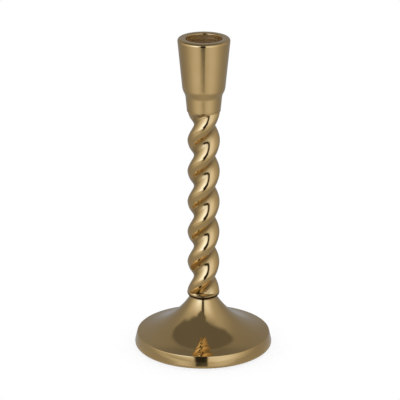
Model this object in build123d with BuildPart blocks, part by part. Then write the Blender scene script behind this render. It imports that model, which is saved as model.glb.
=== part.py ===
from build123d import *
import os
from math import cos, radians, sin, sqrt, tan

# Spiral candle holder, millimetres, +Z up. The origin is on the vertical axis, at the face it rests on.
# Three brass castings, the cup, the twisted stem and the dished base, are held together by two
# threaded studs and a nut, and a felt disc is glued under the rim. Threads are plain cylinders.

# fits between pieces
thread_clearance = 0.05
spigot_clearance = 0.05
stud_end_gap = 0.5

# felt disc under the rim
felt_thickness = 1.0
felt_inset = 3.5
felt_glue_width = 3.5

# dished base, heights above its own rim
base_radius = 45.0
rim_height = 8.22
rim_draft_angle = 12
rim_top_rounding = 0.6
rim_bottom_rounding = 1.46
cone_foot_radius = 17.3
cone_foot_height = 22.0
neck_radius = 8.25
neck_height = 33.6
neck_slope_angle = 31
base_wall = 3.0
boss_underside_height = 24.0
hollow_rounding = 1.5

# twisted stem, heights above its foot or below its head
stem_length = 127.2
twist_pitch = 41.55
crest_height = 2.5
crest_radius = 10.38
section_angles = (-84, -58, -32, -6, 20, 44, 66)
section_shares = (0.615, 0.75, 0.915, 1.0, 0.96, 0.845, 0.66)
foot_radius = 10.5
foot_bulge_height = 2.4
foot_rounding = 2.0
foot_run_out = 5.0
head_radius = 10.85
head_bulge_height = 0.7
head_rounding = 0.5
head_run_out = 6.0
bead_overlap = 0.3
spigot_radius = 5.5
spigot_length = 2.5
spigot_chamfer = 0.4

# candle cup, heights above its sleeve's lower edge
cup_height = 47.12
sleeve_radius = 10.85
sleeve_rounding = 0.5
sleeve_top_radius = 11.6
sleeve_top_height = 8.0
shoulder_radius = 13.81
shoulder_height = 15.4
mouth_radius = 16.95
mouth_rounding = 1.8
candle_bore_radius = 11.5
candle_bore_depth = 26.0
bore_mouth_rounding = 0.9
bore_floor_rounding = 1.5

# M6 studs and the holes they screw into
thread_radius = 3.0
thread_chamfer = 0.6
cup_hole_depth = 12.0
stem_head_hole_depth = 13.0
stem_foot_hole_depth = 16.0
stud_hole_radius = 3.2
stud_beyond_nut = 2.0

# washers and nut under the boss
washer_hole_radius = 3.2
flat_washer_radius = 6.0
flat_washer_thickness = 1.6
spring_washer_radius = 5.9
spring_washer_thickness = 1.6
spring_washer_gap = 1.2
spring_washer_slant_angle = 20
nut_width_across_flats = 10.0
nut_height = 5.2
nut_chamfer_angle = 30

# levels and fits worked out from the sizes above
felt_radius = base_radius - felt_inset
rim_inner_radius = felt_radius - felt_glue_width
rim_level = felt_thickness
boss_level = rim_level + boss_underside_height
foot_level = rim_level + neck_height
head_level = foot_level + stem_length
mouth_level = head_level + cup_height
spring_washer_level = boss_level - flat_washer_thickness
nut_level = spring_washer_level - spring_washer_thickness
tapped_radius = thread_radius + thread_clearance
socket_radius = spigot_radius + spigot_clearance
socket_depth = spigot_length + stud_end_gap

# felt disc, glued to the flat land under the rim
with BuildPart() as base_felt:
    with BuildSketch():
        Circle(felt_radius)
    extrude(amount=felt_thickness)
base_felt.part.label = "base_felt"

# dished base: a turned skin with a hollow below it, a thick rim and a boss that the stud passes through
rim_draft = radians(rim_draft_angle)
rim_corner_radius = base_radius + rim_bottom_rounding * ((1 + sin(rim_draft)) / cos(rim_draft) - 1)
rim_top_radius = rim_corner_radius - rim_height * tan(rim_draft)
neck_slope = radians(neck_slope_angle)
with BuildPart() as base_dish:
    with BuildSketch(Plane.XZ) as skin:
        with BuildLine():
            cone = TangentArc(
                (neck_radius, foot_level),
                (cone_foot_radius, rim_level + cone_foot_height),
                tangent=(sin(neck_slope), -cos(neck_slope)),
            )
            dish = TangentArc(cone @ 1, (rim_top_radius, rim_level + rim_height), tangent=cone % 1)
            Polyline(dish @ 1, (rim_corner_radius, rim_level), (0, rim_level), (0, foot_level), cone @ 0)
        make_face()
        fillet(skin.vertices().sort_by(Axis.X)[-2], rim_top_rounding)
        fillet(skin.vertices().sort_by(Axis.X)[-1], rim_bottom_rounding)
    revolve(axis=Axis.Z)
    with BuildSketch(Plane.XZ) as hollow:
        with BuildLine():
            under_cone, under_dish = [
                ThreePointArc([arc @ at - (arc % at).rotate(Axis.Z, 90) * base_wall for at in (0, 0.5, 1)])
                for arc in (cone, dish)
            ]
            Polyline(under_dish @ 1, ((under_dish @ 1).X, 0), (0, 0), (0, (under_cone @ 0).Y), under_cone @ 0)
        make_face()
        Rectangle(rim_inner_radius * 2, boss_level * 2, mode=Mode.INTERSECT)
        fillet(hollow.vertices().group_by(Axis.Y)[-1].sort_by(Axis.X)[-1], hollow_rounding)
        fillet(hollow.vertices().group_by(Axis.X)[-1].sort_by(Axis.Y)[-1], hollow_rounding)
    revolve(axis=Axis.Z, mode=Mode.SUBTRACT)
    with Locations((0, 0, foot_level)):
        CounterBoreHole(stud_hole_radius, socket_radius, socket_depth)
base_dish.part.label = "base_dish"

# twisted stem: two strands side by side, turned as they rise, between a round foot and head. The strands
# lean a little, so their section is one smooth closed curve through points at the angles and shares above.
bead_inner_radius = crest_radius * min(section_shares) - bead_overlap
section_points = [
    Vector(crest_radius * share, 0).rotate(Axis.Z, half_turn + angle)
    for half_turn in (0, 180)
    for angle, share in zip(section_angles, section_shares)
]
twist_level = foot_level + foot_rounding
twist_length = stem_length - foot_rounding - head_rounding
twist_start_angle = 360 * (foot_rounding - crest_height) / twist_pitch
with BuildPart() as twisted_stem:
    with BuildLine() as stem_axis:
        Line((0, 0, twist_level), (0, 0, twist_level + twist_length))
    with BuildLine() as strand_guide:
        Helix(twist_pitch, twist_length, crest_radius, center=(0, 0, twist_level))
    with BuildSketch(Plane.XY.offset(twist_level).rotated((0, 0, twist_start_angle))):
        with BuildLine():
            Spline(section_points, periodic=True)
        make_face()
    sweep(path=stem_axis.line, binormal=strand_guide.edges()[0])
    # a round bead at each end, whose inner side fills the grooves where they run out
    for end_level, inwards, bead_radius, bulge_height, rounding, run_out in (
        (foot_level, 1, foot_radius, foot_bulge_height, foot_rounding, foot_run_out),
        (head_level, -1, head_radius, head_bulge_height, head_rounding, head_run_out),
    ):
        with BuildSketch(Plane.XZ) as bead:
            with BuildLine():
                groove_end = TangentArc(
                    (bead_inner_radius, end_level + inwards * run_out),
                    (bead_radius, end_level + inwards * bulge_height),
                    tangent=(0, -inwards),
                )
                Polyline(
                    groove_end @ 1,
                    (bead_radius, end_level),
                    (0, end_level),
                    (0, end_level + inwards * run_out),
                    groove_end @ 0,
                )
            make_face()
            fillet(bead.vertices().sort_by_distance((bead_radius, end_level))[0], rounding)
        revolve(axis=Axis.Z)
    # a spigot and a tapped hole at each end
    for end_level, inwards, hole_depth in (
        (foot_level, 1, stem_foot_hole_depth),
        (head_level, -1, stem_head_hole_depth),
    ):
        spigot_level = end_level - inwards * spigot_length
        with BuildSketch(Plane.XY.offset(spigot_level)):
            Circle(spigot_radius)
        extrude(amount=inwards * spigot_length)
        spigot_edge = twisted_stem.edges().filter_by(GeomType.CIRCLE).filter_by_position(
            Axis.Z, spigot_level, spigot_level
        )
        chamfer(spigot_edge, spigot_chamfer)
        with BuildSketch(Plane.XY.offset(spigot_level)):
            Circle(tapped_radius)
        extrude(amount=inwards * (spigot_length + hole_depth), mode=Mode.SUBTRACT)
twisted_stem.part.label = "twisted_stem"

# candle cup: a flared cup on a sleeve, with a round shoulder between them
mouth = Vector(mouth_radius, mouth_level)
shoulder = Vector(shoulder_radius, head_level + shoulder_height)
sleeve_top = Vector(sleeve_top_radius, head_level + sleeve_top_height)
with BuildPart() as candle_cup:
    with BuildSketch(Plane.XZ) as wall:
        with BuildLine():
            flare = Line(mouth, shoulder)
            upper_bend = TangentArc(shoulder, (shoulder + sleeve_top) / 2, tangent=flare % 1)
            lower_bend = TangentArc(upper_bend @ 1, sleeve_top, tangent=upper_bend % 1)
            Polyline(sleeve_top, (sleeve_radius, head_level), (0, head_level), (0, mouth_level), mouth)
        make_face()
        fillet(wall.vertices().sort_by(Axis.X)[-1], mouth_rounding)
        fillet(wall.vertices().group_by(Axis.Y)[0].sort_by(Axis.X)[-1], sleeve_rounding)
    revolve(axis=Axis.Z)
    with BuildSketch(Plane.XZ) as bore:
        with Locations((0, mouth_level)):
            Rectangle(candle_bore_radius, candle_bore_depth, align=(Align.MIN, Align.MAX))
        fillet(bore.vertices().group_by(Axis.Y)[0].sort_by(Axis.X)[-1], bore_floor_rounding)
    revolve(axis=Axis.Z, mode=Mode.SUBTRACT)
    mouth_face = candle_cup.faces().filter_by(Plane.XY).sort_by(Axis.Z)[-1]
    fillet(mouth_face.edges().sort_by(SortBy.RADIUS)[0], bore_mouth_rounding)
    with Locations(Plane.XY.offset(head_level).rotated((180, 0, 0))):
        CounterBoreHole(tapped_radius, socket_radius, socket_depth, depth=cup_hole_depth)
candle_cup.part.label = "candle_cup"

# threaded studs, one between stem and cup, one from the stem down through the base
stud_ends = {
    "cup_stud": (
        head_level - stem_head_hole_depth + stud_end_gap,
        head_level + cup_hole_depth - stud_end_gap,
    ),
    "base_stud": (
        nut_level - nut_height - stud_beyond_nut,
        foot_level + stem_foot_hole_depth - stud_end_gap,
    ),
}
studs = []
for stud_name, (stud_bottom, stud_top) in stud_ends.items():
    with BuildPart() as stud:
        with BuildSketch(Plane.XY.offset(stud_bottom)):
            Circle(thread_radius)
        extrude(amount=stud_top - stud_bottom)
        chamfer(stud.edges().filter_by(GeomType.CIRCLE), thread_chamfer)
    stud.part.label = stud_name
    studs.append(stud)

# flat washer against the underside of the boss
with BuildPart() as flat_washer:
    with BuildSketch(Plane.XY.offset(spring_washer_level)):
        Circle(flat_washer_radius)
        Circle(washer_hole_radius, mode=Mode.SUBTRACT)
    extrude(amount=flat_washer_thickness)
flat_washer.part.label = "flat_washer"

# spring washer: a ring with a slanted split, drawn flat as it is when tightened
with BuildPart() as spring_washer:
    with BuildSketch(Plane.XY.offset(nut_level)):
        Circle(spring_washer_radius)
        Circle(washer_hole_radius, mode=Mode.SUBTRACT)
    extrude(amount=spring_washer_thickness)
    with BuildSketch(Plane.YZ):
        with Locations(Location((0, nut_level + spring_washer_thickness / 2), spring_washer_slant_angle)):
            Rectangle(spring_washer_gap, spring_washer_thickness * 2)
    extrude(amount=spring_washer_radius, mode=Mode.SUBTRACT)
spring_washer.part.label = "spring_washer"

# hexagon nut with its corners turned back at both ends
nut_flat_radius = nut_width_across_flats / 2
nut_corner_radius = nut_width_across_flats / sqrt(3)
nut_corner_drop = (nut_corner_radius - nut_flat_radius) * tan(radians(nut_chamfer_angle))
with BuildPart() as hex_nut:
    with BuildSketch(Plane.XY.offset(nut_level - nut_height)):
        RegularPolygon(nut_flat_radius, 6, major_radius=False)
        Circle(tapped_radius, mode=Mode.SUBTRACT)
    extrude(amount=nut_height)
    with BuildSketch(Plane.XZ):
        with BuildLine():
            Polyline(
                (0, nut_level - nut_height),
                (nut_flat_radius, nut_level - nut_height),
                (nut_corner_radius, nut_level - nut_height + nut_corner_drop),
                (nut_corner_radius, nut_level - nut_corner_drop),
                (nut_flat_radius, nut_level),
                (0, nut_level),
                close=True,
            )
        make_face()
    revolve(axis=Axis.Z, mode=Mode.INTERSECT)
hex_nut.part.label = "hex_nut"

os.makedirs("parts", exist_ok=True)
for piece in (base_felt, base_dish, twisted_stem, candle_cup, *studs, flat_washer, spring_washer, hex_nut):
    export_step(piece.part, f"parts/{piece.part.label}.step")
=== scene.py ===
from math import cos, pi, radians, sin, tan

import bpy
import numpy as np
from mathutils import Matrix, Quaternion, Vector


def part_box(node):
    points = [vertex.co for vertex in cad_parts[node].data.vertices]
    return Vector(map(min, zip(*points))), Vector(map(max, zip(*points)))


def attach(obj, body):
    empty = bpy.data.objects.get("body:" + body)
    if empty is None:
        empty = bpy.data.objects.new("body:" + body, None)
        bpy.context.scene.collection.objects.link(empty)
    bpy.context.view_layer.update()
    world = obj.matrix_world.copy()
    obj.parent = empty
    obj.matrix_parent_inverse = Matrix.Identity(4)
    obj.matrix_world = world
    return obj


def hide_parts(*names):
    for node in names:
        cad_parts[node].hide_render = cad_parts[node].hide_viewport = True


# Spiral candle holder: a cast brass cup, twisted stem and dished base, bolted together on a felt disc.
# Lengths in the dictionaries are in millimetres, angles in degrees. Everything built is in metres.
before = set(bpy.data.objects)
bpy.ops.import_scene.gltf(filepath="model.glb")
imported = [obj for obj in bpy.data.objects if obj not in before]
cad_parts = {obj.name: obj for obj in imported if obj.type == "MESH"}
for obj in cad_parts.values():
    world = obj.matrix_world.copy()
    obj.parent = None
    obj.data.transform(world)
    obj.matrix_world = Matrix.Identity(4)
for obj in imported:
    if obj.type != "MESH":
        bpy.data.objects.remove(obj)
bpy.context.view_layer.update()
mm = 0.001


def levelOf(node, top=False):
    # lowest or highest level of a CAD node, in millimetres
    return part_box(node)[1 if top else 0].z / mm


# node helpers


def toLinear(hexColour):
    # sRGB to linear: below 0.04045 a straight line, above it the power 2.4
    value = np.array([int(hexColour[i:i + 2], 16) / 255 for i in (1, 3, 5)])
    linear = np.where(value <= 0.04045, value / 12.92, ((value + 0.055) / 1.055) ** 2.4)
    return (*linear, 1.0)


def addNode(tree, kind, links=None, **settings):
    # one node: settings name its properties or its input sockets, links name its inputs and what feeds them
    node = tree.nodes.new(kind)
    for name, value in settings.items():
        if hasattr(node, name):
            setattr(node, name, value)
        else:
            node.inputs[name.replace("_", " ")].default_value = value
    for name, source in (links or {}).items():
        tree.links.new(source, node.inputs[name])
    return node


def newMaterial(name):
    material = bpy.data.materials.new(name)
    material.use_nodes = True
    material.node_tree.nodes.clear()
    return material, material.node_tree


def noise(tree, place, size, detail=2.0, stretch=(1, 1, 1)):
    # cloudy noise whose patches are size millimetres across, pulled out along each axis by stretch
    scale = [1 / (size * mm * factor) for factor in stretch]
    scaled = addNode(tree, "ShaderNodeMapping", {"Vector": place}, Scale=scale)
    cloud = addNode(tree, "ShaderNodeTexNoise", {"Vector": scaled.outputs[0]}, Scale=1.0, Detail=detail)
    return cloud.outputs["Fac"]


def spread(tree, value, low, high, start=0.3, end=0.7):
    # carries value from the range start to end over to the range low to high
    node = addNode(tree, "ShaderNodeMapRange", {"Value": value})
    for name, number in (("From Min", start), ("From Max", end), ("To Min", low), ("To Max", high)):
        node.inputs[name].default_value = number
    return node.outputs[0]


def blendColours(tree, share, first, second):
    # first where share is 0 and second where it is 1; each is a hex colour or the output of a node
    node = addNode(tree, "ShaderNodeMix", {"Factor": share}, data_type="RGBA")
    for socket, colour in ((node.inputs[6], first), (node.inputs[7], second)):
        if isinstance(colour, str):
            socket.default_value = toLinear(colour)
        else:
            tree.links.new(colour, socket)
    return node.outputs[2]


def blendValues(tree, share, first, second):
    # the same for two numbers, or for a number and the output of a node
    node = addNode(tree, "ShaderNodeMix", {"Factor": share}, data_type="FLOAT")
    for socket, value in ((node.inputs[2], first), (node.inputs[3], second)):
        if isinstance(value, (int, float)):
            socket.default_value = value
        else:
            tree.links.new(value, socket)
    return node.outputs[0]


def bump(tree, height, depth, under=None):
    # a bump depth millimetres high where height is 1, on top of the bump before it
    links = {"Height": height}
    if under is not None:
        links["Normal"] = under
    return addNode(tree, "ShaderNodeBump", links, Strength=1.0, Distance=depth * mm).outputs["Normal"]


# mesh helpers


def gridMesh(name, rows, material, marks=None, poles=True):
    # A closed surface of rows of points, shape (rows, around, 3), closed around. With poles, its first and
    # last rows are one point each, and without, the last row joins the first. Marks are values for each
    # point, shape (rows, around), that the material reads by name.
    count, around = rows.shape[:2]

    def joined(values):
        if not poles:
            return values.reshape(-1, *values.shape[2:])
        return np.concatenate([values[0, :1], values[1:-1].reshape(-1, *values.shape[2:]), values[-1, :1]])

    points = joined(rows * mm)
    here = np.arange(around)
    beside = (here + 1) % around
    if poles:
        start = 1 + np.arange(count - 3)[:, None] * around
        above = start + around
        last = 1 + (count - 3) * around
        fans = np.concatenate([
            np.stack([0 * here, 1 + beside, 1 + here], -1),
            np.stack([0 * here + len(points) - 1, last + here, last + beside], -1),
        ])
    else:
        start = np.arange(count)[:, None] * around
        above = np.roll(start, -1, 0)
        fans = np.zeros((0, 3), int)
    quads = np.stack([start + here, start + beside, above + beside, above + here], -1)
    corners = np.concatenate([fans.ravel(), quads.ravel()]).astype(np.int32)
    sides = np.concatenate([np.full(len(fans), 3), np.full(quads.size // 4, 4)])
    mesh = bpy.data.meshes.new(name)
    mesh.vertices.add(len(points))
    mesh.vertices.foreach_set("co", points.astype(np.float32).ravel())
    mesh.loops.add(len(corners))
    mesh.loops.foreach_set("vertex_index", corners)
    mesh.polygons.add(len(sides))
    mesh.polygons.foreach_set("loop_start", (np.cumsum(sides) - sides).astype(np.int32))
    mesh.polygons.foreach_set("use_smooth", np.ones(len(sides), bool))
    mesh.update()
    mesh.validate()
    for mark, values in (marks or {}).items():
        attribute = mesh.attributes.new(mark, "FLOAT", "POINT")
        attribute.data.foreach_set("value", joined(values).astype(np.float32).ravel())
    mesh.materials.append(material)
    piece = bpy.data.objects.new(name, mesh)
    bpy.context.scene.collection.objects.link(piece)
    return piece


def dress(piece, node):
    # the piece stands for a CAD node, and rides with the whole holder
    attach(piece, "root")
    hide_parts(node)
    print(piece.name, "built")


def lineTo(start, end, count=2):
    # points from start to end, both (radius, level)
    share = np.linspace(0, 1, count)[:, None]
    return np.array(start) * (1 - share) + np.array(end) * share


def arcAlong(start, end, direction, count=24):
    # The arc from start to end that leaves start along direction. Its radius is chord squared over twice
    # the chord's part across the direction, and it turns by twice the angle between chord and direction.
    start, end = np.array(start, float), np.array(end, float)
    along = np.array(direction, float) / np.linalg.norm(direction)
    across = np.array([-along[1], along[0]])
    chord = end - start
    radius = chord @ chord / (2 * chord @ across)
    turn = 2 * np.arctan2(chord @ across, chord @ along)
    swept = np.linspace(0, turn, count)[:, None]
    points = start + radius * (np.sin(swept) * along + (1 - np.cos(swept)) * across)
    return points, np.cos(turn) * along + np.sin(turn) * across


def roundCorner(before, corner, after, radius, count=10):
    # The fillet of a corner between two straight runs: it touches each run at radius over the tangent of
    # half the angle between them.
    before, corner, after = (np.array(point, float) for point in (before, corner, after))
    inwards = (before - corner) / np.linalg.norm(before - corner)
    outwards = (after - corner) / np.linalg.norm(after - corner)
    reach = radius / np.tan(np.arccos(np.clip(inwards @ outwards, -1, 1)) / 2)
    return arcAlong(corner + inwards * reach, corner + outwards * reach, -inwards, count)[0]


def turned(profile, around=240):
    # the profile's (radius, level) points carried round the vertical axis, on a full circle
    angle = np.linspace(0, 2 * pi, around, endpoint=False)
    radius, level = profile[:, 0][:, None], profile[:, 1][:, None]
    return np.stack([radius * np.cos(angle), radius * np.sin(angle), level + 0 * angle], -1)


def smooth(value, low, high):
    # 0 below low, 1 above high, and an even S between them: three times the share squared less twice its cube
    share = np.clip((value - low) / (high - low), 0, 1)
    return share * share * (3 - 2 * share)


def band(value, fadeIn, start, end, fadeOut):
    # 1 from start to end, fading to 0 on both sides
    return smooth(value, fadeIn, start) * (1 - smooth(value, end, fadeOut))


# lacquered brass

brass = {
    "colour": "#DBBA7D",
    "worn": "#D2AE70",  # lacquer that has yellowed
    "crease": "#46301A",  # painted shade: the dark brown that stands in for shade in the creases and seams
    "haze": 25.0,  # mm across the patches of yellowed lacquer
    "roughness": 0.05,
    "roughnessSpread": 0.03,
    "creaseRoughness": 0.35,
    "boreRoughness": 0.6,
    "lacquer": 0.6,
    "lacquerEnd": 0.5,  # the crease mark from which there is no lacquer
    "wave": 9.0,  # mm between the soft dents that hand polishing leaves
    "waveDepth": 0.05,
    "wobble": 2.6,  # the same for finer dents
    "wobbleDepth": 0.004,
    "grain": 0.5,  # coarser than the buff's real traces, which are too fine to show
    "grainDepth": 0.0006,
    "ringHeight": 2.2,  # coarser than the turning tool's real feed, which is too fine to show
    "ringDepth": 0.015,
}


def lacqueredBrass():
    # Cast brass, buffed and sprayed with clear lacquer: a warm mirror with soft dents under a thin clear
    # skin. In the creases its colour is painted dark brown as shade, and it is dull there. The candle's bore
    # is only turned, so it is matt with fine rings.
    material, tree = newMaterial("brass_cast_buffed_lacquered")
    place = addNode(tree, "ShaderNodeTexCoord").outputs["Object"]
    crease = addNode(tree, "ShaderNodeAttribute", attribute_name="crease").outputs["Fac"]
    bore = addNode(tree, "ShaderNodeAttribute", attribute_name="bore").outputs["Fac"]
    haze = noise(tree, place, brass["haze"], detail=3.0)
    polished = spread(tree, haze, brass["roughness"], brass["roughness"] + brass["roughnessSpread"])
    dull = blendValues(tree, crease, polished, brass["creaseRoughness"])
    roughness = blendValues(tree, bore, dull, brass["boreRoughness"])
    metal = blendColours(tree, spread(tree, haze, 0.0, 1.0), brass["colour"], brass["worn"])
    # painted shade: the crease mark blends the metal towards dark brown in creases and seams
    colour = blendColours(tree, crease, metal, brass["crease"])
    # rings: the turning tool's feed, drawn only in the bore
    along = addNode(tree, "ShaderNodeSeparateXYZ", {"Vector": place}).outputs["Z"]
    phase = addNode(tree, "ShaderNodeMath", {0: along}, operation="MULTIPLY")
    phase.inputs[1].default_value = 2 * pi / (brass["ringHeight"] * mm)
    ring = addNode(tree, "ShaderNodeMath", {0: phase.outputs[0]}, operation="SINE")
    rings = addNode(tree, "ShaderNodeMath", {0: ring.outputs[0], 1: bore}, operation="MULTIPLY")
    normal = bump(tree, noise(tree, place, brass["wave"], detail=1.0), brass["waveDepth"])
    normal = bump(tree, noise(tree, place, brass["wobble"], detail=1.0), brass["wobbleDepth"], normal)
    normal = bump(tree, noise(tree, place, brass["grain"]), brass["grainDepth"], normal)
    normal = bump(tree, rings.outputs[0], brass["ringDepth"], normal)
    # the lacquer is sprayed on, so there is none in the bore and little in the creases
    unsprayed = spread(tree, crease, 0.0, 1.0, start=0.0, end=brass["lacquerEnd"])
    bare = addNode(tree, "ShaderNodeMath", {0: unsprayed, 1: bore}, operation="MAXIMUM")
    lacquer = blendValues(tree, bare.outputs[0], brass["lacquer"], 0.0)
    shader = addNode(
        tree, "ShaderNodeBsdfPrincipled",
        {"Base Color": colour, "Roughness": roughness, "Normal": normal, "Coat Weight": lacquer},
        Metallic=1.0, Coat_Roughness=0.04, Coat_IOR=1.5,
    )
    addNode(tree, "ShaderNodeOutputMaterial", {"Surface": shader.outputs[0]})
    return material


brassMaterial = lacqueredBrass()
headLevel = levelOf("candle_cup")
footLevel = levelOf("base_dish", top=True)
feltLevel = levelOf("base_felt", top=True)

# candle cup

cup = {
    "height": 47.12,
    "sleeveRadius": 10.85,
    "sleeveRounding": 0.15,
    "sleeveTop": (11.6, 8.0),
    "shoulder": (13.81, 15.4),
    "mouthRadius": 16.95,
    "mouthRounding": 1.8,
    "boreRadius": 11.5,
    "boreDepth": 26.0,
    "boreRounding": 0.9,
    "boreFloorRounding": 1.5,
    "boreReach": 0.3,  # how far up its rounding the bore counts as only turned
    "boreFade": (1.6, 0.4),  # depths below the mouth between which the polish begins
    "studHole": (3.05, 12.0),
    "socket": (5.55, 3.0),
    # painted shade at the sleeve's lower edge, where the cup meets the stem
    "crease": 0.1,
    "creaseWidth": 0.5,
    "boreFloorDark": 0.5,  # darker towards the bore's floor, in the same brown
    "boreFloorDarkHeight": 4.0,
}
mouth = np.array([cup["mouthRadius"], cup["height"]])
shoulder = np.array(cup["shoulder"])
sleeveTop = np.array(cup["sleeveTop"])
upperBend, bendDirection = arcAlong(shoulder, (shoulder + sleeveTop) / 2, shoulder - mouth)
lowerBend, _ = arcAlong(upperBend[-1], sleeveTop, bendDirection)
boreFloor = cup["height"] - cup["boreDepth"]
holeRadius, holeTop = cup["studHole"]
socketRadius, socketTop = cup["socket"]
boreEdge, boreCorner = (cup["boreRadius"], cup["height"]), (cup["boreRadius"], boreFloor)
cupProfile = np.concatenate([
    [(0, holeTop), (holeRadius, holeTop), (holeRadius, socketTop)],
    [(socketRadius, socketTop), (socketRadius, 0)],
    roundCorner((socketRadius, 0), (cup["sleeveRadius"], 0), sleeveTop, cup["sleeveRounding"]),
    lineTo((cup["sleeveRadius"], cup["sleeveRounding"]), sleeveTop, count=8)[1:-1],
    lowerBend[::-1],
    upperBend[::-1][1:],
    lineTo(shoulder, mouth, count=47)[1:-3],
    roundCorner(shoulder, mouth, (0, cup["height"]), cup["mouthRounding"], count=16),
    roundCorner(mouth, boreEdge, boreCorner, cup["boreRounding"]),
    lineTo(boreEdge, boreCorner, count=14)[1:-1],
    roundCorner(boreEdge, boreCorner, (0, boreFloor), cup["boreFloorRounding"]),
    lineTo((cup["boreRadius"] - cup["boreFloorRounding"], boreFloor), (0, boreFloor), count=8)[1:],
])
cupRows = turned(cupProfile + (0, headLevel))
cupRadius, cupUp = cupProfile[:, :1], cupProfile[:, 1:]
inBore = (cupRadius <= cup["boreRadius"] + cup["boreReach"]) & (cupUp >= boreFloor)
turnedLevel, polishedLevel = (cup["height"] - depth for depth in cup["boreFade"])
boreMark = np.where(inBore, 1 - smooth(cupUp, turnedLevel, polishedLevel), 0)
# painted shade in the crease at the sleeve's lower edge, and darkening towards the bore's floor
cupCrease = cup["crease"] * np.exp(-cupUp / cup["creaseWidth"])
cupCrease = cupCrease + cup["boreFloorDark"] * inBore * (1 - smooth(cupUp, boreFloor, boreFloor + cup["boreFloorDarkHeight"]))
allRound = np.zeros(cupRows.shape[1])
cupMarks = {"bore": boreMark + allRound, "crease": cupCrease + allRound}
cupPiece = gridMesh("cup", cupRows, brassMaterial, cupMarks)
dress(cupPiece, "candle_cup")

# dished base

base = {
    "radius": 45.0,
    "rimHeight": 8.22,
    "rimDraft": 12,
    "rimBend": (4.4, 45),  # the rim bends inwards from this level up, on an arc of this radius
    "rimTopRounding": 0.6,
    "rimBottomRounding": 1.46,
    "rimFaceGaps": (0.2, 0.8),  # how far the face's rows keep from the roundings below and above
    "rimInnerRadius": 38.0,
    "coneFoot": (17.3, 22.0),
    "neckRadius": 8.25,
    "neckHeight": 33.6,
    "neckSlope": 31,
    "wall": 3.0,
    "roofGap": 1.0,  # how far the hollow's roof stops short of rim and boss
    "roofDrop": 0.5,
    "bossUnderside": 24.0,
    "boltHole": 3.2,
    "socket": (5.55, 3.0),
    # painted shade at the rim's foot, beside the felt
    "rimCrease": 0.6,
    "creaseWidth": 0.4,
    "rimFaceRows": 20,
    "around": 320,
}
draft = radians(base["rimDraft"])
rimCorner = base["radius"] + base["rimBottomRounding"] * ((1 + sin(draft)) / cos(draft) - 1)
rimTop = np.array([rimCorner - base["rimHeight"] * tan(draft), base["rimHeight"]])
bendLevel, bendRadius = base["rimBend"]
rimTop[0] = rimTop[0] - (base["rimHeight"] - bendLevel) ** 2 / (2 * bendRadius)
bendStart = (rimCorner - bendLevel * tan(draft), bendLevel)
rimInnerFoot = (base["rimInnerRadius"], 0)
rimBottom = roundCorner(rimInnerFoot, (rimCorner, 0), bendStart, base["rimBottomRounding"], count=20)
slope = radians(base["neckSlope"])
neck = (base["neckRadius"], base["neckHeight"])
cone, coneDirection = arcAlong(neck, base["coneFoot"], (sin(slope), -cos(slope)), count=48)
dish, _ = arcAlong(base["coneFoot"], rimTop, coneDirection, count=72)
gapBelow, gapAbove = base["rimFaceGaps"]
rimUp = np.linspace(rimBottom[-1, 1] + gapBelow, base["rimHeight"] - gapAbove, base["rimFaceRows"])
rimFace = np.stack([
    rimCorner - rimUp * tan(draft) - np.clip(rimUp - bendLevel, 0, None) ** 2 / (2 * bendRadius),
    rimUp,
], -1)


def underside(points):
    # the same curve one wall thickness further in, square to it: the hollow's roof
    run = np.gradient(points, axis=0)
    run = run / np.linalg.norm(run, axis=1)[:, None]
    return points + base["wall"] * np.stack([run[:, 1], -run[:, 0]], -1)


roof = underside(np.concatenate([cone, dish[1:]]))
insideRim = roof[:, 0] < base["rimInnerRadius"] - base["roofGap"]
belowBoss = roof[:, 1] < base["bossUnderside"] - base["roofGap"]
roof = roof[insideRim & belowBoss]
boltHole, (socketRadius, socketDepth) = base["boltHole"], base["socket"]
socketFloor = base["neckHeight"] - socketDepth
baseProfile = np.concatenate([
    [(boltHole, base["bossUnderside"]), (roof[0, 0] - base["roofGap"], base["bossUnderside"])],
    roof,
    [(base["rimInnerRadius"], roof[-1, 1] - base["roofDrop"]), rimInnerFoot],
    rimBottom,
    rimFace,
    roundCorner(rimFace[-1], rimTop, dish[-3], base["rimTopRounding"], count=14),
    dish[::-1][2:],
    cone[::-1][1:],
    [(socketRadius, base["neckHeight"]), (socketRadius, socketFloor), (boltHole, socketFloor)],
])
baseRows = turned(baseProfile + (0, feltLevel), base["around"])
# painted shade in the crease round the neck under the stem's foot, and in the one between rim and felt
baseUp = baseProfile[:, 1:]
baseCrease = np.exp((baseUp - base["neckHeight"]) / base["creaseWidth"])
baseCrease = baseCrease + base["rimCrease"] * np.exp(-baseUp / base["creaseWidth"])
baseMarks = {"crease": baseCrease + np.zeros(base["around"])}
basePiece = gridMesh("base", baseRows, brassMaterial, baseMarks, poles=False)
dress(basePiece, "base_dish")

# twisted stem

stem = {
    "length": 127.2,
    "pitch": 41.55,
    "crestHeight": 2.5,
    "crestRadius": 10.38,
    # one strand's outline: directions from its crest, and radii as shares of the crest's
    "sectionAngles": (-84, -58, -32, -6, 20, 44, 66),
    "sectionShares": (0.615, 0.75, 0.915, 1.0, 0.96, 0.845, 0.66),
    # the beads: run-out of the grooves into them, and how far in the painted shade beside them reaches and
    # fades
    "foot": {"radius": 10.5, "bulge": 2.4, "rounding": 2.0, "runOut": 5.0, "paintedShade": (1.7, 2.7)},
    "head": {"radius": 10.85, "bulge": 0.7, "rounding": 0.15, "runOut": 6.0, "paintedShade": (-2.0, -1.0)},
    "beadOverlap": 0.3,
    "softness": 0.5,
    "spigotRadius": 5.5,
    "spigotLength": 2.5,
    "spigotChamfer": 0.4,
    "holeRadius": 3.05,
    "headHole": 13.0,
    "footHole": 16.0,
    # painted shade in the grooves between the strands: how dark, and how far up their sides
    "groovePaintedShade": 0.3,
    "groovePaintedShadeHeight": 2.0,
    "around": 240,
    "rows": 370,
    "footRows": 14,
    "headRows": 10,
    "headRowsHeight": 0.8,
}


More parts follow.
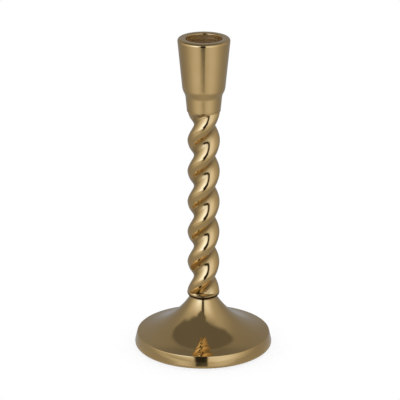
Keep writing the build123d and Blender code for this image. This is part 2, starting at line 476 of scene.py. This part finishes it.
def closedSpline(points, count):
    # The smooth closed curve through points. Neighbouring cubic pieces share slope and bend, which gives
    # one linear equation for the slope at each point, with the distances between points as steps.
    step = np.linalg.norm(np.roll(points, -1, 0) - points, axis=1)[:, None]
    before = np.roll(step, 1, 0)
    rise = (np.roll(points, -1, 0) - points) / step
    here = np.eye(len(points))
    equations = step * np.roll(here, -1, 1) + 2 * (before + step) * here + before * np.roll(here, 1, 1)
    slopes = np.linalg.solve(equations, 3 * (step * np.roll(rise, 1, 0) + before * rise))
    share = np.linspace(0, 1, count, endpoint=False)[None, :, None]
    start, end = points[:, None], np.roll(points, -1, 0)[:, None]
    leaving, arriving = (slopes * step)[:, None], (np.roll(slopes, -1, 0) * step)[:, None]
    curve = (2 * share**3 - 3 * share**2 + 1) * start + (share**3 - 2 * share**2 + share) * leaving
    curve = curve + (3 * share**2 - 2 * share**3) * end + (share**3 - share**2) * arriving
    return curve.reshape(-1, 2)


sectionAngle = np.radians(np.add.outer((0, 180), stem["sectionAngles"]).ravel())
sectionRadius = stem["crestRadius"] * np.tile(stem["sectionShares"], 2)
sectionPoints = np.stack([sectionRadius * np.cos(sectionAngle), sectionRadius * np.sin(sectionAngle)], -1)
section = closedSpline(sectionPoints, count=60)
outlineAngle = np.arctan2(section[:, 1], section[:, 0])
outlineRadius = np.hypot(section[:, 0], section[:, 1])
order = np.argsort(outlineAngle)
outlineAngle, outlineRadius = outlineAngle[order], outlineRadius[order]
stemAngle = np.linspace(0, 2 * pi, stem["around"], endpoint=False)
headRowsStart = stem["length"] - stem["headRowsHeight"]
up = np.concatenate([
    np.linspace(0, stem["foot"]["rounding"], stem["footRows"], endpoint=False),
    np.linspace(stem["foot"]["rounding"], headRowsStart, stem["rows"], endpoint=False),
    np.linspace(headRowsStart, stem["length"], stem["headRows"]),
])
turn = 2 * pi * (up - stem["crestHeight"]) / stem["pitch"]
radius = np.interp(stemAngle[None] - turn[:, None], outlineAngle, outlineRadius, period=2 * pi)
innerRadius = stem["crestRadius"] * min(stem["sectionShares"])
# painted shade lies in the grooves, darkest at their bottom
grooveShadeTop = innerRadius + stem["groovePaintedShadeHeight"]
stemCrease = stem["groovePaintedShade"] * (1 - smooth(radius, innerRadius, grooveShadeTop))
for inwards, end in ((up, stem["foot"]), (stem["length"] - up, stem["head"])):
    bulge = (end["radius"], end["bulge"])
    groove, _ = arcAlong((innerRadius - stem["beadOverlap"], end["runOut"]), bulge, (0, -1), count=40)
    bead = np.interp(inwards, groove[::-1, 1], groove[::-1, 0], left=end["radius"], right=0)[:, None]
    # the larger of strand and bead, with a soft fillet between them
    soft = stem["softness"]
    share = np.clip(0.5 + 0.5 * (radius - bead) / soft, 0, 1)
    radius = bead * (1 - share) + radius * share + soft * share * (1 - share)
    low = np.clip(end["rounding"] - inwards, 0, end["rounding"])[:, None]
    edge = end["radius"] - end["rounding"] + np.sqrt(end["rounding"]**2 - low**2)
    radius = np.where(low > 0, np.minimum(radius, edge), radius)
    # painted shade where the strands run into the beads
    stemCrease = np.maximum(stemCrease, 1 - smooth(inwards, *end["paintedShade"])[:, None])
wall = np.stack([radius * np.cos(stemAngle), radius * np.sin(stemAngle), up[:, None] + 0 * radius], -1)


def spigot(holeDepth):
    # from the bottom of the tapped hole out over the spigot to the shoulder, levels measured outwards
    chamfer, length = stem["spigotChamfer"], stem["spigotLength"]
    return np.array([
        (0, -holeDepth),
        (stem["holeRadius"], -holeDepth),
        (stem["holeRadius"], length),
        (stem["spigotRadius"] - chamfer, length),
        (stem["spigotRadius"], length - chamfer),
        (stem["spigotRadius"], 0),
    ])


bottomEnd = turned(spigot(stem["footHole"]) * (1, -1), stem["around"])
topEnd = turned(spigot(stem["headHole"])[::-1] + (0, stem["length"]), stem["around"])
stemRows = np.concatenate([bottomEnd, wall, topEnd]) + (0, 0, footLevel)
covered = np.zeros((len(bottomEnd), stem["around"]))
stemMarks = {"crease": np.concatenate([covered, stemCrease, covered])}
stemPiece = gridMesh("stem", stemRows, brassMaterial, stemMarks)
dress(stemPiece, "twisted_stem")

# studs with their threads, nut and washers, hidden inside the stem and the base

thread = {"radius": 3.0, "pitch": 1.0, "depth": 0.54, "rowsPerTurn": 10, "around": 64, "chamfer": 0.6}
steel = {
    "zinc": "#C3C8CC",
    "zincCloud": "#A9AFB4",
    "zincCloudSize": 3.0,
    "zincRoughness": (0.24, 0.38),
    "grain": 0.25,  # coarser than the real grain, which is too fine to show
    "grainDepth": 0.003,
    "spring": "#5B5753",
    "springScale": "#37332F",
    "springScaleSize": 1.2,
    "springScaleDepth": 0.006,
    "springRoughness": (0.55, 0.35),
}


def platedSteel():
    # Cold-headed steel, bright zinc plated: cool grey with faint clouds, satin from the plating barrel.
    material, tree = newMaterial("steel_headed_zinc_plated")
    place = addNode(tree, "ShaderNodeTexCoord").outputs["Object"]
    cloud = noise(tree, place, steel["zincCloudSize"], detail=3.0)
    colour = blendColours(tree, spread(tree, cloud, 0.0, 1.0), steel["zinc"], steel["zincCloud"])
    roughness = spread(tree, cloud, *steel["zincRoughness"])
    normal = bump(tree, noise(tree, place, steel["grain"]), steel["grainDepth"])
    shader = addNode(
        tree, "ShaderNodeBsdfPrincipled",
        {"Base Color": colour, "Roughness": roughness, "Normal": normal}, Metallic=1.0,
    )
    addNode(tree, "ShaderNodeOutputMaterial", {"Surface": shader.outputs[0]})
    return material


def springSteel():
    # Coiled spring steel, hardened and oiled: nearly black scale, rubbed to grey where the nut has turned.
    material, tree = newMaterial("steel_coiled_hardened")
    place = addNode(tree, "ShaderNodeTexCoord").outputs["Object"]
    scale = noise(tree, place, steel["springScaleSize"], detail=4.0)
    rubbed = spread(tree, scale, 0.0, 1.0, start=0.4, end=0.6)
    colour = blendColours(tree, rubbed, steel["springScale"], steel["spring"])
    roughness = spread(tree, scale, *steel["springRoughness"])
    normal = bump(tree, scale, steel["springScaleDepth"])
    shader = addNode(
        tree, "ShaderNodeBsdfPrincipled",
        {"Base Color": colour, "Roughness": roughness, "Normal": normal}, Metallic=1.0,
    )
    addNode(tree, "ShaderNodeOutputMaterial", {"Surface": shader.outputs[0]})
    return material


zincMaterial, springMaterial = platedSteel(), springSteel()
looks = {"flat_washer": zincMaterial, "hex_nut": zincMaterial, "spring_washer": springMaterial}
for node, material in looks.items():
    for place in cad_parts[node].material_slots:
        place.material = material
for node in ("cup_stud", "base_stud"):
    bottom, top = levelOf(node), levelOf(node, top=True)
    turns = (top - bottom) / thread["pitch"]
    level = np.linspace(bottom, top, int(turns * thread["rowsPerTurn"]) + 1)
    angle = np.linspace(0, 2 * pi, thread["around"], endpoint=False)
    # a right-handed thread: a wave between root and crest that climbs one pitch in each turn
    wave = (level[:, None] / thread["pitch"] - angle[None] / (2 * pi)) % 1
    threadRadius = thread["radius"] - thread["depth"] * (1 - np.abs(2 * wave - 1))
    fromEnd = np.minimum(level - bottom, top - level)[:, None]
    threadRadius = np.minimum(threadRadius, thread["radius"] - thread["chamfer"] + fromEnd)
    across, forwards = threadRadius * np.cos(angle), threadRadius * np.sin(angle)
    rows = np.stack([across, forwards, level[:, None] + 0 * wave], -1)
    ends = [turned(np.array([(0, end)]), thread["around"]) for end in (bottom, top)]
    studPiece = gridMesh(node + "_threaded", np.concatenate([ends[0], rows, ends[1]]), zincMaterial)
    dress(studPiece, node)

# felt disc

felt = {
    "radius": 41.5,
    "thickness": 1.0,
    "edge": 0.35,
    "fuzz": 0.12,
    "colour": "#4E3524",
    "fibre": "#7A5A40",
    "fibreSize": 0.12,  # coarser than real wool, which is too fine to show
    "fibreStretch": 7,  # how many times longer than wide the fibres are
    "fibreDepth": 0.06,
    "clumpSize": 6.0,
    "rings": 60,
    "edgeRows": 9,
}


def pressedFelt():
    # Pressed wool felt: matt brown, with lighter fibres lying every way and a soft sheen of loose hair.
    material, tree = newMaterial("felt_wool_pressed")
    place = addNode(tree, "ShaderNodeTexCoord").outputs["Object"]
    lying = noise(tree, place, felt["fibreSize"], stretch=(felt["fibreStretch"], 1, 1))
    crossing = noise(tree, place, felt["fibreSize"], stretch=(1, felt["fibreStretch"], 1))
    fibres = addNode(tree, "ShaderNodeMath", {0: lying, 1: crossing}, operation="MAXIMUM").outputs[0]
    clumps = noise(tree, place, felt["clumpSize"], detail=3.0)
    lighter = spread(tree, fibres, 0.0, 0.7, start=0.5, end=0.75)
    colour = blendColours(tree, lighter, felt["colour"], felt["fibre"])
    colour = blendColours(tree, spread(tree, clumps, 0.0, 0.3), colour, felt["colour"])
    normal = bump(tree, fibres, felt["fibreDepth"])
    shader = addNode(
        tree, "ShaderNodeBsdfPrincipled", {"Base Color": colour, "Normal": normal},
        Roughness=0.95, Sheen_Weight=0.2, Sheen_Roughness=0.5, Specular_IOR_Level=0.2,
    )
    addNode(tree, "ShaderNodeOutputMaterial", {"Surface": shader.outputs[0]})
    return material


ringRadii = np.linspace(0, felt["radius"] - felt["edge"], felt["rings"])[:-1]
edgeAngles = np.radians(np.linspace(-90, 90, felt["edgeRows"]))
edgeOut = felt["radius"] - felt["edge"] + felt["edge"] * np.cos(edgeAngles)
edgeLevel = felt["thickness"] / 2 * (1 + np.sin(edgeAngles))
feltProfile = np.concatenate([
    np.stack([ringRadii, 0 * ringRadii], -1),
    np.stack([edgeOut, edgeLevel], -1),
    np.stack([ringRadii, 0 * ringRadii + felt["thickness"]], -1)[::-1],
])
feltRows = turned(feltProfile)
fuzz = np.random.default_rng(4).random(feltRows.shape[:2])
# uneven thickness: the fuzz is averaged with its neighbours and only ever takes material away
for axis in (0, 1):
    fuzz = (fuzz + np.roll(fuzz, 1, axis) + np.roll(fuzz, -1, axis)) / 3
fuzz[0], fuzz[-1] = fuzz[0].mean(), fuzz[-1].mean()
inwards = 1 - 2 * feltRows[..., 2] / felt["thickness"]
feltRows[..., 2] = feltRows[..., 2] + felt["fuzz"] * fuzz * inwards
feltPiece = gridMesh("felt", feltRows, pressedFelt())
dress(feltPiece, "base_felt")

# light tent

tent = {
    "radius": 900,
    "centreLevel": 30,
    "floorLevel": -2,
    "around": 360,
    "wallRows": 181,
    "floorRows": 90,
    "mattGlow": 1.08,  # what everything matt is lit by
    # the lamps are cooler than the room, so the cloth's colour runs to this where it glows most
    "lampLight": "#C2D4FF",
    "coolFrom": 0.55,
    "coolTo": 1.35,
    # lamps behind the cloth: azimuth from the camera's side, its spread, glow, and its fades upwards
    "lamps": {
        "right": (30, 40, 0.67, (-60, -40, 46, 70)),
        "rightSide": (95, 30, 0.14, (-60, -40, 56, 68)),
        "left": (-33, 34, 1.2, (-4, 18, 30, 66)),
        "leftSide": (-82, 28, 0.30, (-60, -40, 30, 60)),
    },
    # the wall, and the darker patch behind its top, in degrees from straight up to the back and sideways
    "back": {"glow": 0.29, "topGlow": 0.2, "topFades": (24, 34, 44, 56), "topSides": (8, 20)},
    # The open top, which the dish reflects. Its outline is a parabola that narrows into the front gap, in
    # degrees from straight up: across to the right, and forwards to the camera.
    "openTop": {
        "glow": 0.165,
        "halfWidth": 44,
        "widest": -26,
        "reach": 62,
        "centre": -6.5,
        "backFade": (-31, -25),
        "edgeFade": (-3, 5),
        "narrowing": 10,  # towards the back
        "narrowingFade": (-31, -8),
        "widening": 7,  # at the front tip
        "wideningFades": (24, 29, 35, 38),
        "lean": 2,  # more of it on the left
        "leanFades": (5, 14, 22, 28),
    },
    # the gap in the front that the camera looks through, with a bulge at the camera's height
    "frontGap": {
        "glow": 0.03,
        "topGlow": 0.11,
        "topFade": (20, 50),
        "leftFade": (-17, -11),
        "rightFade": (5, 9),
        "bulgeElevation": 19,
        "bulgeHeight": 8,
        "bulgeLeft": 12,
        "bulgeRight": 4,
        "floorFades": (-14, -10, 5, 9),
        "floorRadii": (390, 480),
    },
    # the cloth that the object stands on, near to it and far from it, with a dip in front
    "floor": {
        "near": 0.32,
        "nearFront": 0.11,
        "nearSpread": 80,
        "far": 0.30,
        "farLamp": 0.39,
        "farAzimuth": 36,
        "farSpread": 44,
        "farRadii": (130, 285),
        "dip": 0.24,
        "dipFades": (-26, -3, 3, 8),
        "dipRadii": (300, 400),
    },
}


def wallGlow(azimuth, elevation):
    # The wall's brightness by direction: an even back plus a bell curve for each lamp. Over that lie the
    # back's darker patch, then the front gap, and last the open top.
    back, top, gap = tent["back"], tent["openTop"], tent["frontGap"]
    glow = back["glow"] + 0 * azimuth
    for centre, width, strength, fades in tent["lamps"].values():
        glow = glow + strength * np.exp(-((azimuth - centre) / width) ** 2) * band(elevation, *fades)
    fromTop = 90 - elevation
    across, forwards = fromTop * np.sin(np.radians(azimuth)), fromTop * np.cos(np.radians(azimuth))
    patch = band(-forwards, *back["topFades"]) * (1 - smooth(np.abs(across), *back["topSides"]))
    glow = glow * (1 - patch) + back["topGlow"] * patch
    halfWidth = top["halfWidth"] * (1 - ((forwards - top["widest"]) / top["reach"]) ** 2)
    halfWidth = halfWidth - top["narrowing"] * (1 - smooth(forwards, *top["narrowingFade"]))
    halfWidth = halfWidth + top["widening"] * band(forwards, *top["wideningFades"])
    lean = top["lean"] * band(forwards, *top["leanFades"])
    inside = halfWidth + lean - np.abs(across - top["centre"] + lean)
    opening = smooth(forwards, *top["backFade"]) * smooth(inside, *top["edgeFade"])
    bulge = np.exp(-(((elevation - gap["bulgeElevation"]) / gap["bulgeHeight"]) ** 2))
    slit = smooth(azimuth + gap["bulgeLeft"] * bulge, *gap["leftFade"])
    slit = slit * (1 - smooth(azimuth - gap["bulgeRight"] * bulge, *gap["rightFade"]))
    slitGlow = gap["glow"] + (gap["topGlow"] - gap["glow"]) * smooth(elevation, *gap["topFade"])
    glow = glow * (1 - slit) + slitGlow * slit
    return glow * (1 - opening) + top["glow"] * opening


def floorGlow(azimuth, radius):
    # The floor's brightness: near the object a bell curve towards the front, and far from it one for the
    # lamps on either side, less the dip between them. The front gap runs on to the wall.
    cloth, gap = tent["floor"], tent["frontGap"]
    near = cloth["near"] + cloth["nearFront"] * np.exp(-((azimuth / cloth["nearSpread"]) ** 2))
    fromLamp = (np.abs(azimuth) - cloth["farAzimuth"]) / cloth["farSpread"]
    far = cloth["far"] + cloth["farLamp"] * np.exp(-(fromLamp ** 2))
    far = far - cloth["dip"] * band(azimuth, *cloth["dipFades"]) * smooth(radius, *cloth["dipRadii"])
    glow = near + (far - near) * smooth(radius, *cloth["farRadii"])
    slit = band(azimuth, *gap["floorFades"]) * smooth(radius, *gap["floorRadii"])
    return glow * (1 - slit) + gap["glow"] * slit


azimuths = np.linspace(-180, 180, tent["around"], endpoint=False)
floorRadii = np.linspace(0, tent["radius"], tent["floorRows"], endpoint=False)
elevations = np.linspace(0, 90, tent["wallRows"])
domeRadii = tent["radius"] * np.cos(np.radians(elevations))
domeLevels = tent["radius"] * np.sin(np.radians(elevations)) + tent["centreLevel"]
tentProfile = np.concatenate([
    np.stack([floorRadii, 0 * floorRadii + tent["floorLevel"]], -1),
    np.stack([domeRadii, domeLevels], -1),
])
tentRows = np.stack([
    tentProfile[:, :1] * np.sin(np.radians(azimuths)),
    -tentProfile[:, :1] * np.cos(np.radians(azimuths)),
    tentProfile[:, 1:] + 0 * azimuths,
], -1)
glowRows = np.concatenate([
    floorGlow(azimuths[None], floorRadii[:, None]),
    wallGlow(azimuths[None], elevations[:, None]),
])
# the cooler light has less red, so it is made stronger to keep the red level
coolRows = np.clip((glowRows - tent["coolFrom"]) / (tent["coolTo"] - tent["coolFrom"]), 0, 1)
glowRows = glowRows / (1 - coolRows * (1 - toLinear(tent["lampLight"])[0]))
# mirrors see the pattern, and everything matt is lit by one even level
tentMaterial, tree = newMaterial("tent_cloth")
glow = addNode(tree, "ShaderNodeAttribute", attribute_name="glow").outputs["Fac"]
cool = addNode(tree, "ShaderNodeAttribute", attribute_name="cool").outputs["Fac"]
matt = addNode(tree, "ShaderNodeLightPath").outputs["Is Diffuse Ray"]
strength = blendValues(tree, matt, glow, tent["mattGlow"])
light = blendColours(tree, cool, "#FFFFFF", tent["lampLight"])
light = blendColours(tree, matt, light, "#FFFFFF")
emission = addNode(tree, "ShaderNodeEmission", {"Color": light, "Strength": strength})
addNode(tree, "ShaderNodeOutputMaterial", {"Surface": emission.outputs[0]})
tentMaterial.cycles.emission_sampling = "NONE"
tentPiece = gridMesh("tent", tentRows, tentMaterial, {"glow": glowRows, "cool": coolRows})
tentPiece.visible_camera = False

# paper floor, which turns clear towards its edge, and the world

floor = {
    "radius": 90,
    "thickness": 0.5,
    "fadeStart": 44,
    "fadeEnd": 62,
    "clear": 0.92,
    "reflects": 0.93,
    "around": 64,
}
floorMaterial, tree = newMaterial("paper_floor")
place = addNode(tree, "ShaderNodeTexCoord").outputs["Object"]
distance = addNode(tree, "ShaderNodeVectorMath", {0: place}, operation="LENGTH").outputs["Value"]
fade = spread(tree, distance, floor["clear"], 1.0, floor["fadeStart"] * mm, floor["fadeEnd"] * mm)
paper = addNode(tree, "ShaderNodeBsdfDiffuse", Color=[floor["reflects"]] * 3 + [1])
clear = addNode(tree, "ShaderNodeBsdfTransparent")
mixed = addNode(tree, "ShaderNodeMixShader", {0: fade, 1: paper.outputs[0], 2: clear.outputs[0]})
addNode(tree, "ShaderNodeOutputMaterial", {"Surface": mixed.outputs[0]})
bottom = -floor["thickness"]
floorProfile = np.array([(0, bottom), (floor["radius"], bottom), (floor["radius"], 0), (0, 0)])
floorPiece = gridMesh("floor", turned(floorProfile, floor["around"]), floorMaterial)

# white where it is seen, straight or in a mirror, and half as bright for what it lights
backdrop = {"seen": 1.0, "unseen": 0.5}
world = bpy.data.worlds.new("studio")
bpy.context.scene.world = world
world.use_nodes = True
tree = world.node_tree
tree.nodes.clear()
ray = addNode(tree, "ShaderNodeLightPath")
seen = ray.outputs["Is Camera Ray"]
for kind in ("Is Glossy Ray", "Is Transmission Ray"):
    seen = addNode(tree, "ShaderNodeMath", {0: seen, 1: ray.outputs[kind]}, operation="MAXIMUM").outputs[0]
strength = blendValues(tree, seen, backdrop["unseen"], backdrop["seen"])
background = addNode(tree, "ShaderNodeBackground", {"Strength": strength}, Color=(1, 1, 1, 1))
addNode(tree, "ShaderNodeOutputWorld", {"Surface": background.outputs[0]})
print("stage built")

# camera, fitted to the photograph's outlines

view = {
    "target": (-2.3, 0, 100.48),
    "distance": 1398.4,
    "elevation": 19.762,
    "roll": 0.09,
    "lens": 194.7,
    "sensorWidth": 36,
    "nearest": 10,
    "farthest": 10000,
}
camera = bpy.data.objects.new("camera", bpy.data.cameras.new("camera"))
bpy.context.scene.collection.objects.link(camera)
camera.data.lens = view["lens"]
camera.data.sensor_width = view["sensorWidth"]
camera.data.clip_start = view["nearest"] * mm
camera.data.clip_end = view["farthest"] * mm
lift = radians(view["elevation"])
back = Vector((0, -cos(lift), sin(lift)))
camera.location = (Vector(view["target"]) + back * view["distance"]) * mm
camera.rotation_mode = "QUATERNION"
camera.rotation_quaternion = Quaternion(back, radians(view["roll"])) @ (-back).to_track_quat("-Z", "Y")
bpy.context.scene.camera = camera
bpy.context.scene.view_settings.view_transform = "Standard"
